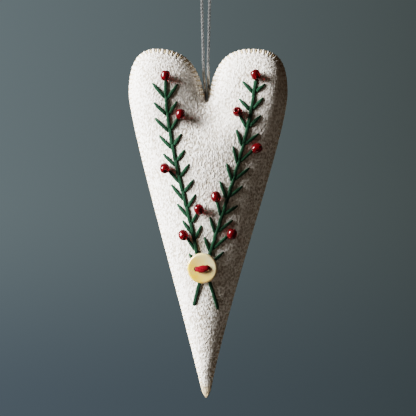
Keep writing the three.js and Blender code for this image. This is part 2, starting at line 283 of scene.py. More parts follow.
def depth_inside(points):
    """A smooth distance to the outline that levels off inside, as in the part's source."""
    depths = []
    for some in np.array_split(points, max(1, len(points) // 2000)):
        reach = CORNERS[None] - some[:, None]
        away = np.maximum(np.hypot(reach[..., 0], reach[..., 1]), 1e-6)
        after, further = np.roll(reach, -1, axis=1), np.roll(away, -1, axis=1)
        cross = reach[..., 0] * after[..., 1] - reach[..., 1] * after[..., 0]
        dot = (reach * after).sum(-1)
        apart = away * further
        half_turn = np.sqrt(np.maximum(0, apart - dot) / np.maximum(1e-12, apart + dot))
        half_turn *= np.where(cross < 0, -1, 1)
        total = (half_turn * (1 / away + 1 / further)).sum(1)
        depths.append(2 / np.abs(total))
    return np.concatenate(depths)


FULLEST = depth_inside(spine_at(edge_shares(46))[1:-1]).max()


def swell(points):
    """A share of the crown: fuller on the lobes' outer shoulders, dipping below the cleft."""
    total = np.ones(len(points))
    for spot, reach, amount in SWELLS:
        away = (points - place(spot)) / place(reach)
        total += amount * np.exp(-(away ** 2).sum(1))
    return total


def crown(points, ease=0.0, inside=None):
    """How far the felt stands out from the seam. Ease flattens it beside the seam."""
    inside = depth_inside(points) if inside is None else inside
    inside = inside ** 2 / (inside + ease)
    share = np.minimum(1, inside / FULLEST)
    slimming = 1 - TIP_SLIMMING * np.exp(-np.maximum(0, points[:, 1]) / TIP_REACH)
    stuffing = HEART_DEPTH / 2 - FELT_EDGE
    return FELT_EDGE + stuffing * slimming * share ** CROWN_FULLNESS * swell(points)


def on_front(points, lift):
    """Points on the front lifted off the CAD felt along its normal, and the normals."""
    points = np.atleast_2d(points)
    step = 0.5
    slopes = [
        (crown(points + shift) - crown(points - shift)) / (2 * step)
        for shift in ((step, 0), (0, step))
    ]
    normals = unit(np.column_stack([-slopes[0], -np.ones(len(points)), -slopes[1]]))
    base = np.column_stack([points[:, 0], -GAP / 2 - crown(points), points[:, 1]])
    return base + normals * np.reshape(lift, (-1, 1)), normals


class Making:
    """A mesh being gathered from its parts, in the heart's frame."""

    def __init__(self):
        self.spots = []
        self.faces = []
        self.looks = []
        self.count = 0

    def add(self, spots, faces, look=0):
        self.spots.append(spots)
        self.faces += (np.asarray(faces) + self.count).tolist()
        self.looks += [look] * len(faces)
        self.count += len(spots)

    def mesh(self, name, materials, origin=ORIGIN):
        mesh = bpy.data.meshes.new(name)
        spots = (np.vstack(self.spots) - origin) * MM
        mesh.from_pydata(spots.tolist(), [], self.faces)
        for material in materials:
            mesh.materials.append(material)
        mesh.polygons.foreach_set("material_index", self.looks)
        mesh.polygons.foreach_set("use_smooth", [True] * len(self.faces))
        mesh.update()
        return mesh


def piece(name, mesh, replaced=()):
    thing = bpy.data.objects.new(name, mesh)
    bpy.context.scene.collection.objects.link(thing)
    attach(thing, "root")
    if replaced:
        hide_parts(*replaced)
    return thing


def frames_along(path):
    """Two square directions at each point of a path, carried along without twist."""
    ways = unit(np.gradient(path, axis=0))
    first = np.cross(ways[0], (0.3, 1, 0.2))
    across = [first / np.linalg.norm(first)]
    for way in ways[1:]:
        carried = across[-1] - way * across[-1].dot(way)
        across.append(carried / np.linalg.norm(carried))
    across = np.array(across)
    return across, np.cross(ways, across)


def tube(path, radii, sides=6, shape=None, twist=None):
    """A closed tube. shape gives a share of the radius at each angle of its section."""
    across, up = frames_along(path)
    angles = np.linspace(0, 2 * np.pi, sides, endpoint=False)
    turns = np.zeros(len(path)) if twist is None else twist
    swept = angles[None] + turns[:, None]
    reach = np.broadcast_to(np.reshape(radii, (-1, 1)), swept.shape)
    if shape is not None:
        reach = reach * shape(angles)[None]
    rings = (
        path[:, None]
        + across[:, None] * (np.cos(swept) * reach)[..., None]
        + up[:, None] * (np.sin(swept) * reach)[..., None]
    )
    spots = np.vstack([rings.reshape(-1, 3), path[:1], path[-1:]])
    faces = []
    last = (len(path) - 1) * sides
    for i in range(sides):
        j = (i + 1) % sides
        starts = np.arange(0, last, sides)
        faces += np.column_stack([
            starts + i, starts + j, starts + sides + j, starts + sides + i,
        ]).tolist()
    ends = len(spots) - 2
    caps = [[ends, (i + 1) % sides, i] for i in range(sides)]
    caps += [[ends + 1, last + i, last + (i + 1) % sides] for i in range(sides)]
    return spots, faces, caps


def add_tube(making, path, radii, sides=6, look=0, **more):
    spots, faces, caps = tube(np.asarray(path), radii, sides, **more)
    start = making.count
    making.add(spots, faces, look)
    making.faces += (np.asarray(caps) + start).tolist()
    making.looks += [look] * len(caps)


def smooth_line(points, count):
    """A curve through points, at even steps of its length."""
    points = np.asarray(points, float)
    before = np.vstack([2 * points[0] - points[1], points[:-1]])
    after = np.vstack([points[1:], 2 * points[-1] - points[-2]])
    slopes = (after - before) / 2
    share = np.linspace(0, 1, 12, endpoint=False)[:, None]
    stretches = []
    for a, b, leaving, reaching in zip(points, points[1:], slopes, slopes[1:]):
        stretches.append(
            a * (2 * share ** 3 - 3 * share ** 2 + 1)
            + leaving * (share ** 3 - 2 * share ** 2 + share)
            + b * (3 * share ** 2 - 2 * share ** 3)
            + reaching * (share ** 3 - share ** 2)
        )
    line = np.vstack([*stretches, points[-1:]])
    return resampled(line, np.linspace(0, 1, count))


# Materials

def link(tree, a, b):
    tree.links.new(a, b)


def node(tree, kind, **values):
    made = tree.nodes.new(kind)
    for name, value in values.items():
        if hasattr(made, name):
            setattr(made, name, value)
        else:
            made.inputs[name.replace("_", " ").title()].default_value = value
    return made


def group(name, inputs, outputs):
    """A shader node group with its inputs and outputs, and its two end nodes."""
    tree = bpy.data.node_groups.new(name, "ShaderNodeTree")
    for label, kind, value in inputs:
        socket = tree.interface.new_socket(label, in_out="INPUT", socket_type=kind)
        if value is not None:
            socket.default_value = value
    for label, kind in outputs:
        tree.interface.new_socket(label, in_out="OUTPUT", socket_type=kind)
    return tree, tree.nodes.new("NodeGroupInput"), tree.nodes.new("NodeGroupOutput")


def fill(tree, socket, value):
    """Links a socket to another one, or gives it a plain value."""
    if isinstance(value, bpy.types.NodeSocket):
        tree.links.new(value, socket)
    else:
        socket.default_value = value


def mix_colors(tree, factor, a, b, blend="MIX"):
    mix = tree.nodes.new("ShaderNodeMix")
    mix.data_type = "RGBA"
    mix.blend_type = blend
    for number, value in ((0, factor), (6, a), (7, b)):
        fill(tree, mix.inputs[number], value)
    return mix.outputs[2]


def worked_out(tree, operation, *values, clamp=False):
    """The result of one sum on sockets and plain values."""
    made = node(tree, "ShaderNodeMath", operation=operation, use_clamp=clamp)
    for socket, value in zip(made.inputs, values):
        fill(tree, socket, value)
    return made.outputs[0]


def ranged(tree, source, span, result=(0, 1), easing="LINEAR"):
    """A socket's value, carried from one span over to another and held at its ends."""
    made = node(tree, "ShaderNodeMapRange", interpolation_type=easing)
    for label, value in zip(("From Min", "From Max", "To Min", "To Max"), (*span, *result)):
        made.inputs[label].default_value = value
    link(tree, source, made.inputs["Value"])
    return made.outputs["Result"]


FIBRE_SPREAD = (0.12, 0.36)


def fibre_grain():
    """Fine spun fibres: a colour that drifts and speckles, and a height for a bump."""
    tree, inlet, outlet = group(
        "Fibre grain",
        [
            ("Color", "NodeSocketColor", (0.5, 0.5, 0.5, 1)),
            ("Deep Color", "NodeSocketColor", (0.2, 0.2, 0.2, 1)),
            ("Fibre Scale", "NodeSocketFloat", 3000.0),
            ("Drift Scale", "NodeSocketFloat", 160.0),
        ],
        [("Color", "NodeSocketColor"), ("Height", "NodeSocketFloat")],
    )
    coords = tree.nodes.new("ShaderNodeTexCoord")
    fine = node(tree, "ShaderNodeTexNoise", detail=3.0, roughness=0.65, distortion=0.8)
    drift = node(tree, "ShaderNodeTexNoise", detail=2.0)
    for noise_node, scale in ((fine, "Fibre Scale"), (drift, "Drift Scale")):
        link(tree, coords.outputs["Object"], noise_node.inputs["Vector"])
        link(tree, inlet.outputs[scale], noise_node.inputs["Scale"])
    both = worked_out(tree, "MULTIPLY", fine.outputs["Fac"], drift.outputs["Fac"])
    spread = ranged(tree, both, FIBRE_SPREAD)
    color = mix_colors(tree, spread, inlet.outputs["Deep Color"], inlet.outputs["Color"])
    link(tree, color, outlet.inputs["Color"])
    link(tree, fine.outputs["Fac"], outlet.inputs["Height"])
    return tree


FIBRE_GRAIN = fibre_grain()

# The felt's noises as scale, detail and distortion: pebbles, curls and blotches.
FELT_GRAINS = ((1200.0, 1.0, 0.0), (2500.0, 2.0, 0.0), (90.0, 2.0, 0.0))
FLECK_STRETCH = 0.75
FELT_BUMP = 0.42
# The nap's hollows take painted shade: first the span of the bump's height that darkens, then below
# it the darker colour; the blotches and the other colours are the felt's own.
FELT_HOLLOW_SHADE = (0.52, 0.8)
FELT_BLOTCHES = (0.35, 0.75)
HOLLOW_SHADE_COLOR = (0.4, 0.35, 0.29, 1)
CREAM_COLOR = (0.93, 0.915, 0.89, 1)
BLOTCH_COLOR = (0.8, 0.77, 0.73, 1)
TAN_COLOR = (0.55, 0.44, 0.3, 1)
SEAM_TINT = (0.6, 2.2, 0.75)
TIP_TINT = (-178.0, -170.0, 0.9)
# The button: painted light that slants from warm on its lit lower left to cool on its upper right,
# away from the light, then the shell's own cloudy shift, colours and pearl.
PAINTED_LIGHT_SLANT = (0.8, 0, 0.6)
PAINTED_LIGHT_SPAN = (-0.0795, -0.0715)
PAINTED_SHADE_SHARES = (-0.3, 0.5)
SHELL_CLOUD = 0.6
WARM_SHELL = (0.66, 0.4, 0.13, 1)
COOL_SHELL = (0.47, 0.45, 0.32, 1)
PEARL_SPAN = (0.45, 0.75)
PEARL_COLOR = (0.5, 0.36, 0.28, 1)
# The loop's thread: the heights over which painted light lifts it into the shaded seam, its painted
# pale colour, its own cover, and its cover where the light is painted.
PAINTED_LIGHT_HEIGHTS = (-35.0, -47.0)
PAINTED_LIGHT_THREAD = (0.85, 0.85, 0.84, 1)
THREAD_COVER = 0.5
PAINTED_LIGHT_COVER = 0.85


def material(name, roughness, color=None, **sockets):
    made = bpy.data.materials.new(name)
    made.use_nodes = True
    shader = made.node_tree.nodes["Principled BSDF"]
    shader.inputs["Roughness"].default_value = roughness
    if color:
        shader.inputs["Base Color"].default_value = (*color, 1)
    for label, value in sockets.items():
        shader.inputs[label.replace("_", " ")].default_value = value
    return made, made.node_tree, shader


def bumped(tree, shader, height, strength, distance):
    bump = tree.nodes.new("ShaderNodeBump")
    bump.inputs["Strength"].default_value = strength
    bump.inputs["Distance"].default_value = distance * MM
    link(tree, height, bump.inputs["Height"])
    link(tree, bump.outputs["Normal"], shader.inputs["Normal"])


def thread_material(name, color, deep, roughness, fibre_scale, bump, **sockets):
    made, tree, shader = material(name, roughness, **sockets)
    grain = tree.nodes.new("ShaderNodeGroup")
    grain.node_tree = FIBRE_GRAIN
    grain.inputs["Color"].default_value = (*color, 1)
    grain.inputs["Deep Color"].default_value = (*deep, 1)
    grain.inputs["Fibre Scale"].default_value = fibre_scale
    link(tree, grain.outputs["Color"], shader.inputs["Base Color"])
    bumped(tree, shader, grain.outputs["Height"], bump, 0.12)
    return made


def felt_material():
    """Pebbled cream felt, its flecks longer up and down, with painted shade in the hollows of its
    nap, tan beside the seam.
    """
    made, tree, shader = material("Cream wool felt", 0.95, Sheen_Weight=0.15, Sheen_Roughness=0.6)
    coords = tree.nodes.new("ShaderNodeTexCoord")
    drawn = node(tree, "ShaderNodeVectorMath", operation="MULTIPLY")
    link(tree, coords.outputs["Object"], drawn.inputs[0])
    drawn.inputs[1].default_value = (1, 1, FLECK_STRETCH)
    heights = []
    for scale, detail, distortion in FELT_GRAINS:
        grain = node(tree, "ShaderNodeTexNoise", scale=scale, detail=detail, distortion=distortion)
        grain.inputs["Roughness"].default_value = 0.55
        link(tree, drawn.outputs[0], grain.inputs["Vector"])
        heights.append(grain.outputs["Fac"])
    curls = worked_out(tree, "MULTIPLY_ADD", heights[1], 0.35, heights[0])
    # Painted shade in the nap's hollows: where the bump's height is low the felt takes the darker
    # colour, which also gives its fleck tone.
    color = mix_colors(tree, ranged(tree, curls, FELT_HOLLOW_SHADE), HOLLOW_SHADE_COLOR, CREAM_COLOR)
    blotch = ranged(tree, heights[2], FELT_BLOTCHES, (0, 0.5))
    color = mix_colors(tree, blotch, color, BLOTCH_COLOR)
    parts = tree.nodes.new("ShaderNodeSeparateXYZ")
    link(tree, coords.outputs["Object"], parts.inputs[0])
    from_seam = worked_out(tree, "ABSOLUTE", parts.outputs["Y"])
    tints = ((from_seam, SEAM_TINT), (parts.outputs["Z"], TIP_TINT))
    for place_in, (start, end, most) in tints:
        tint = ranged(tree, place_in, (start * MM, end * MM), (most, 0), "SMOOTHSTEP")
        color = mix_colors(tree, tint, color, TAN_COLOR)
    link(tree, color, shader.inputs["Base Color"])
    bumped(tree, shader, curls, 1.0, FELT_BUMP)
    return made


FELT = felt_material()
TAN_THREAD = thread_material(
    "Tan sewing thread", (0.6, 0.5, 0.35), (0.4, 0.3, 0.18), 0.75, 4000.0, 0.5,
)
GREEN_FLOSS = thread_material(
    "Green stranded floss", (0.0135, 0.064, 0.031), (0.006, 0.034, 0.017), 0.8, 4200.0, 0.6,
    Specular_IOR_Level=0.35,
)
RED_THREAD = thread_material(
    "Red stranded thread", (0.26, 0.002, 0.008), (0.13, 0.001, 0.004), 0.8, 4200.0, 0.6,
    Specular_IOR_Level=0.25,
)
GREY_THREAD = thread_material(
    "Grey twisted thread", (0.18, 0.18, 0.176), (0.07, 0.07, 0.068), 0.75, 1500.0, 0.7,
    Alpha=THREAD_COVER, Sheen_Weight=1.0, Sheen_Roughness=0.5,
)


def painted_light_at_the_cleft():
    """Painted light on the loop's thread: paler and less see-through where it goes into the seam, in
    the shade of the lobes.
    """
    tree = GREY_THREAD.node_tree
    shader = tree.nodes["Principled BSDF"]
    twisted = shader.inputs["Base Color"].links[0].from_socket
    coords = tree.nodes.new("ShaderNodeTexCoord")
    parts = tree.nodes.new("ShaderNodeSeparateXYZ")
    link(tree, coords.outputs["Object"], parts.inputs[0])
    heights = [height * MM for height in PAINTED_LIGHT_HEIGHTS]
    # Painted light: the thread turns paler and fuller towards the seam, where the lobes shade it.
    pale = ranged(tree, parts.outputs["Z"], heights, easing="SMOOTHSTEP")
    link(tree, mix_colors(tree, pale, twisted, PAINTED_LIGHT_THREAD), shader.inputs["Base Color"])
    cover = worked_out(tree, "MULTIPLY_ADD", pale, PAINTED_LIGHT_COVER - THREAD_COVER, THREAD_COVER)
    link(tree, cover, shader.inputs["Alpha"])


painted_light_at_the_cleft()


def button_material():
    """Shell with its own cloudy tone and painted light: warm at the lower left, where the light
    falls, and cooler to the upper right, away from it.
    """
    made, tree, shader = material(
        "Cream shell button", 0.28, Coat_Weight=0.5, Coat_Roughness=0.12,
        Subsurface_Weight=0.12, Subsurface_Scale=1.5 * MM,
    )
    coords = tree.nodes.new("ShaderNodeTexCoord")
    layers = []
    for scale, distortion in ((150.0, 2.5), (420.0, 1.0)):
        grain = node(tree, "ShaderNodeTexNoise", scale=scale, detail=3.0, distortion=distortion)
        link(tree, coords.outputs["Object"], grain.inputs["Vector"])
        layers.append(grain.outputs["Fac"])
    # Painted light and shade: warmer on the lower left towards the light, cooler on the upper right
    # away from it.
    slant = node(tree, "ShaderNodeVectorMath", operation="DOT_PRODUCT")
    link(tree, coords.outputs["Object"], slant.inputs[0])
    slant.inputs[1].default_value = PAINTED_LIGHT_SLANT
    cooler = ranged(tree, slant.outputs["Value"], PAINTED_LIGHT_SPAN, PAINTED_SHADE_SHARES)
    shift = worked_out(tree, "MULTIPLY_ADD", layers[0], SHELL_CLOUD, cooler, clamp=True)
    pearl = ranged(tree, layers[1], PEARL_SPAN, (0, 0.35))
    tinted = mix_colors(tree, pearl, mix_colors(tree, shift, WARM_SHELL, COOL_SHELL), PEARL_COLOR)
    link(tree, tinted, shader.inputs["Base Color"])
    bumped(tree, shader, layers[1], 0.15, 0.1)
    return made


RED_GLASS = material(
    "Red bead glass", 0.17, (0.2, 0.005, 0.009), Transmission_Weight=0.65, IOR=1.5,
)[0]
BEAD_LINING = material("Bead lining", 0.45, (0.3, 0.02, 0.025), Metallic=0.6)[0]
SHELL = button_material()


# The camera, then the thread loop as the first piece.

CAMERA_DISTANCE = 0.9
VIEW_WIDTH = 0.1743
VIEW_MIDDLE = (0.00063, -0.09855)

camera_data = bpy.data.cameras.new("camera")
camera_data.sensor_width = 36
camera_data.lens = camera_data.sensor_width * CAMERA_DISTANCE / VIEW_WIDTH
camera = bpy.data.objects.new("camera", camera_data)
camera.location = (VIEW_MIDDLE[0], -CAMERA_DISTANCE, VIEW_MIDDLE[1])
camera.rotation_euler = (math.radians(90), 0, 0)
bpy.context.scene.collection.objects.link(camera)
bpy.context.scene.camera = camera


def hanging_loop():
    """The loop's three-ply twist, from the seam over the hook and back."""
    route = np.array([(x, 0, z) for x, z in LOOP_ROUTE]) * LOOP_DROP
    sewn_in = np.array([0, 0, LOOP_SEWN_IN])
    route = np.vstack([route[0] - sewn_in, route, route[-1] - sewn_in])
    route[:, 2] += LOOP_THREAD / 2
    steps = 520
    line = smooth_line(route, steps)
    run = run_of(line)
    lay_length = 4.6
    plies = 3

    def ply_shape(angles):
        middle, ply = 0.4, 0.6
        nearest = (angles + np.pi / plies) % (2 * np.pi / plies) - np.pi / plies
        return middle * np.cos(nearest) + np.sqrt(ply ** 2 - (middle * np.sin(nearest)) ** 2)

    making = Making()
    sway = 1 + 0.05 * np.sin(run * 1.9)
    add_tube(
        making, line, LOOP_THREAD / 2 * TWIST_FULLER * sway, sides=18, shape=ply_shape,
        twist=run * 2 * np.pi / lay_length,
    )
    loop = piece(
        "hanging_twist", making.mesh("hanging_twist", [GREY_THREAD], origin=np.zeros(3)),
        ["hanging_loop"],
    )


hanging_loop()


# The embroidery's plan: where each stitch lies on the front.

def stem_line(name):
    return bezier(place(SPRIGS[name]["stem"]), 400)


def stem_point(line, height):
    order = np.argsort(line[:, 1])
    return np.array([np.interp(height, line[order, 1], line[order, 0]), height])


def plan_sprig(name):
    """Leaf stitches, and the beads as (spot, way of the stalk, pose), from the top down."""
    line = stem_line(name)
    poses = list(BEAD_POSES[name])
    leaves, stalks = [], []
    for side, first, pitch, tips, bead_stalks in SPRIGS[name]["rows"]:
        for i, tip in enumerate(place(tips)):
            root = stem_point(line, (first - i * pitch) * HEART_HEIGHT)
            root = root + (side * STEM_WIDTH / 3, 0)
            (stalks if i in bead_stalks else leaves).append((root, tip))
    stalks.sort(key=lambda stalk: -stalk[1][1])
    beads = [(line[0], unit(line[0] - line[1]), poses[0])]
    beads += [(tip, unit(tip - root), pose) for (root, tip), pose in zip(stalks, poses[1:])]
    return line, leaves, stalks, beads


PLANS = {name: plan_sprig(name) for name in SPRIGS}


def bead_centre(spot, way, pose):
    turn, rise = np.radians(pose)
    half = (math.cos(rise) * BEAD_DIAMETER + abs(math.sin(rise)) * BEAD_LENGTH) / 2
    centre, normal = on_front(spot, GAP + half - BEAD_SINK)
    turned = np.array([
        way[0] * math.cos(turn) + way[1] * math.sin(turn),
        way[1] * math.cos(turn) - way[0] * math.sin(turn),
    ])
    flat = np.array([turned[0], 0, turned[1]])
    flat = unit(flat - normal[0] * flat.dot(normal[0]))
    hole = flat * math.cos(rise) + normal[0] * math.sin(rise)
    return centre[0], hole


def floss_lines():
    """Every floss stitch on the front as a flat line, for the grooves it presses."""
    lines = []
    for plan in PLANS.values():
        line, leaves, stalks = plan[:3]
        lines.append(resampled(line, np.linspace(0, 1, 26)))
        lines += [np.array(leaf) for leaf in leaves + stalks]
    lines += [place(tail) for tail in TAILS.values()]
    return lines


# Felt, sewn and stuffed.

def stitches_on(name):
    """Where the whip stitches cross an edge, in millimetres along it."""
    length = run_of(EDGES[name])[-1]
    count = round(length / STITCH_PITCH)
    spots = (np.arange(count) + 0.5) * length / count
    return spots + random.normal(0, 0.16, count)


STITCHES = {name: stitches_on(name) for name in EDGES}


def near_stitch(spots, along):
    """The distance from each place along an edge to the nearest stitch."""
    after = np.clip(np.searchsorted(spots, along), 1, len(spots) - 1)
    return np.minimum(np.abs(along - spots[after - 1]), np.abs(along - spots[after]))


def fading(values, start, end):
    """1 before start, 0 after end and smooth between."""
    share = np.clip((values - start) / (end - start), 0, 1)
    return 1 - share * share * (3 - 2 * share)


def bite_at(along, height):
    """How far in from the edge a stitch goes: further on the lobes, less at the tip."""
    bite = SIDE_BITE + (LOBE_BITE - SIDE_BITE) * fading(along, *LOBE_STRETCH)
    return bite * np.clip(0.3 + height / 12, 0.3, 1)


def pull_at(along, height):
    """How hard a stitch draws the felt in: hardest on the lobes, hardly at the tip."""
    pull = SIDE_DRAW + (1 - SIDE_DRAW) * fading(along, *LOBE_STRETCH)
    return pull * np.clip(height / TIP_STRETCH, 0, 1) * (1 - fading(along, 0.5, 4))


def felt_surface(points, along, deep, inward, name, sewn=1.0):
    """Points of the sewn felt beside one edge, standing out towards +y."""
    near = near_stitch(STITCHES[name], along)
    bite = bite_at(along, points[:, 1])
    pull = pull_at(along, points[:, 1])
    pinch = np.exp(-(near / PINCH_WIDTH) ** 2) * pull
    fade = fading(deep, bite * 0.3, bite + 0.7)
    flatter = 1 - TIP_FLATNESS * fading(points[:, 1], 2, TIP_STRETCH)
    inside = depth_inside(points)
    out = GAP / 2 + crown(points, SEAM_EASE, inside) * flatter
    out = out + FELT_FULLER * (1 - fading(inside, 0, 2))
    puff = 0.14 * (1 - pinch) - PINCH_DEPTH * pinch
    hole = np.exp(-((near ** 2 + (deep - bite) ** 2) / 0.45 ** 2))
    groove = np.exp(-((deep - bite) / 0.6) ** 2)
    out = out + (puff * fade - (0.25 * hole + 0.15 * groove) * pull) * sewn
    draw = (EDGE_DRAW * pinch - 0.08 * pull) * np.exp(-np.maximum(deep, 0) / 0.8) * sewn
    moved = points + inward * draw[:, None]
    return np.column_stack([moved[:, 0], out, moved[:, 1]])


FINE_ROWS = 1100
COLUMNS = 64
BAND = 16
RIM = [(0.42, 0.02), (0.2, 0.3), (0.05, 0.62), (0.0, 0.85)]


def edge_frames(name, shares):
    line = resampled(EDGES[name], shares)
    ways = unit(np.gradient(line, axis=0))
    side = OUTLINE[name]["side"]
    inward = np.column_stack([ways[:, 1], -ways[:, 0]]) * side
    return line, ways, inward, shares * run_of(EDGES[name])[-1]


def half_side(name, facing):
    """One side of one felt half, from its rim at the seam to the spine, row by row.

    A row leaves the edge squarely and bends to the spine.
    """
    shares = edge_shares(FINE_ROWS, 0.35)
    line, ways, inward, along = edge_frames(name, shares)
    spine = spine_at(shares)
    steps = np.linspace(0, 1, COLUMNS + 1)
    across = (steps ** 1.35)[None, :, None]
    reach = np.minimum(0.45 * np.linalg.norm(spine - line, axis=1), 9)
    bend = (line + inward * reach[:, None])[:, None]
    grid = line[:, None] * (1 - across) ** 2 + bend * 2 * across * (1 - across)
    grid = grid + spine[:, None] * across ** 2
    offsets = grid - line[:, None]
    deep = (offsets * inward[:, None]).sum(-1)
    beside = (offsets * ways[:, None]).sum(-1)
    rows, columns = deep.shape
    sewn = np.tile(fading(across.ravel(), 0.6, 1.0), rows)
    flat = felt_surface(
        grid.reshape(-1, 2),
        (along[:, None] + beside).ravel(),
        deep.ravel(),
        np.repeat(inward, columns, axis=0),
        name,
        sewn,
    ).reshape(rows, columns, 3)
    first = flat[:, 0]
    rim = []
    for inset, height in RIM:
        ring = first.copy()
        ring[:, [0, 2]] += inward * inset
        ring[:, 1] = 0.02 + (first[:, 1] - 0.02) * height
        rim.append(ring)
    whole = np.concatenate([np.stack(rim, axis=1), flat], axis=1)
    whole[..., 1] *= facing
    return whole


def pressed(points):
    """How deep the floss, beads and button press the front at flat points."""
    depth = np.zeros(len(points))
    for line in floss_lines():
        for a, b in zip(line, line[1:]):
            low = np.minimum(a, b) - 2.5
            high = np.maximum(a, b) + 2.5
            close = np.flatnonzero(((points > low) & (points < high)).all(1))
            if not len(close):
                continue
            some = points[close] - a
            span = b - a
            share = np.clip(some @ span / span.dot(span), 0, 1)
            away = np.linalg.norm(some - share[:, None] * span, axis=1)
            depth[close] = np.maximum(depth[close], FLOSS_SINK * np.exp(-(away / 0.8) ** 4))
    for plan in PLANS.values():
        for bead_plan in plan[3]:
            away = np.linalg.norm(points - bead_plan[0], axis=1)
            depth += BEAD_DENT * np.exp(-(away / BEAD_DENT_REACH) ** 2)
    away = np.linalg.norm(points - place(BUTTON_AT), axis=1)
    depth += BUTTON_DENT * np.exp(-(away / BUTTON_DENT_REACH) ** 4)
    return depth


def nap(spots, height):
    """A soft uneven nap, in millimetres."""
    rise = [
        noise.noise(Vector(spot)) + 0.6 * noise.noise(Vector(spot) * 2 + Vector((9, 4, 2)))
        for spot in spots * 1.05
    ]
    return np.array(rise) * height


def half_faces(rows, columns, rim):
    """Faces of one side: fine rows beside the seam, every second row inside."""
    index = np.arange(rows * columns).reshape(rows, columns)
    band = rim + BAND
    fine = index[:, : band + 1]
    quads = np.stack(
        [fine[:-1, :-1], fine[1:, :-1], fine[1:, 1:], fine[:-1, 1:]], axis=-1,
    ).reshape(-1, 4).tolist()
    coarse = index[::2, band + 1:]
    quads += np.stack(
        [coarse[:-1, :-1], coarse[1:, :-1], coarse[1:, 1:], coarse[:-1, 1:]], axis=-1,
    ).reshape(-1, 4).tolist()
    edge, inner = index[:, band], index[:, band + 1]
    tris = []
    for i in range(0, rows - 2, 2):
        tris.append([edge[i], edge[i + 1], inner[i]])
        tris.append([edge[i + 1], inner[i + 2], inner[i]])
        tris.append([edge[i + 1], edge[i + 2], inner[i + 2]])
    return quads, tris


def felt_half(name, facing, node_name):
    left, right = half_side("left", facing), half_side("right", facing)
    rows, columns = left.shape[:2]
    if facing < 0:
        for side in (left, right):
            flat = side[:, len(RIM):]
            sunk = pressed(flat.reshape(-1, 3)[:, [0, 2]]).reshape(flat.shape[:2])
            side[:, len(RIM):, 1] += sunk
    making = Making()
    for side, turned in ((left, facing > 0), (right, facing < 0)):
        quads, tris = half_faces(rows, columns, len(RIM))
        faces = [face[::-1] if turned else face for face in quads + tris]
        making.spots.append(side.reshape(-1, 3))
        making.faces += [[corner + making.count for corner in face] for face in faces]
        making.looks += [0] * len(faces)
        making.count += rows * columns
    mesh = making.mesh(name, [FELT])
    weld(mesh)
    roughen(mesh)
    piece(name, mesh, [node_name])


def weld(mesh):
    """Joins doubled points, drops unused ones and closes the open seam face."""
    shape = bmesh.new()
    shape.from_mesh(mesh)
    loose = [v for v in shape.verts if not v.link_faces]
    bmesh.ops.delete(shape, geom=loose, context="VERTS")
    bmesh.ops.remove_doubles(shape, verts=shape.verts, dist=0.004 * MM)
    rim = [e for e in shape.edges if e.is_boundary]
    bmesh.ops.holes_fill(shape, edges=rim, sides=0)
    bmesh.ops.recalc_face_normals(shape, faces=shape.faces)
    shape.to_mesh(mesh)
    shape.free()


def roughen(mesh):
    """Raises the nap along the normals."""
    count = len(mesh.vertices)
    spots = np.empty(count * 3)
    normals = np.empty(count * 3)
    mesh.vertices.foreach_get("co", spots)
    mesh.vertex_normals.foreach_get("vector", normals)
    spots = spots.reshape(-1, 3) / MM
    rise = nap(spots, NAP_HEIGHT)
    spots = spots + normals.reshape(-1, 3) * rise[:, None]
    mesh.vertices.foreach_set("co", (spots * MM).ravel())
    mesh.update()


felt_half("heart_front", -1, "felt_front")
felt_half("heart_back", 1, "felt_back")


# Whip stitches over the edge.

WHIP_RADIUS = 0.25


def whip_stitches():
    making = Making()
    for name in EDGES:
        length = run_of(EDGES[name])[-1]
        spots = STITCHES[name]
        line, ways, inward = edge_frames(name, np.clip(spots / length, 0, 1))[:3]
        for i in np.flatnonzero((line[:, 1] > 5) & (spots > 2.5)):
            bite = bite_at(spots[i], line[i, 1]) * (1 + random.normal(0, 0.05))
            radius = WHIP_RADIUS * (0.6 + 0.4 * pull_at(spots[i], line[i, 1]))
            slant = random.normal(0, 0.12)
            advance = STITCH_PITCH * 0.7 * min(1, bite)
            share = np.array([1, 0.9, 0.7, 0.45, 0.22, 0.02])
            deep = bite * np.concatenate([share, share[::-1]])
            beside = np.concatenate([slant * share, advance * share[::-1]])
            flat = line[i] + inward[i] * deep[:, None] + ways[i] * beside[:, None]
            surface = felt_surface(
                flat, np.full(len(deep), spots[i]), deep, np.tile(inward[i], (len(deep), 1)), name,
            )
            lift = radius * np.array([-2.0, 0.0, 0.4, 0.6, 0.7, 0.6])
            surface[:, 1] += np.concatenate([lift, lift[::-1]])
            surface[: len(share), 1] *= -1
            over = surface[len(share) - 1].copy()
            over[[0, 2]] -= inward[i] * (radius * 0.2)
            over[1] = 0
            path = np.vstack([surface[: len(share)], over, surface[len(share):]])
            add_tube(making, smooth_line(path, 26), radius, sides=7)
    piece("whip_stitches", making.mesh("whip_stitches", [TAN_THREAD]))


whip_stitches()


# Floss stitches.

STRAND_RADIUS = 0.34
LIFT = 0.35
FLATNESS = 0.2
DIVE_LENGTH = 0.45
FLOSS_LAY = 7.5
STEM_STITCH = 6.6
STEM_LAP = 0.12
STEM_SLANT = 0.18


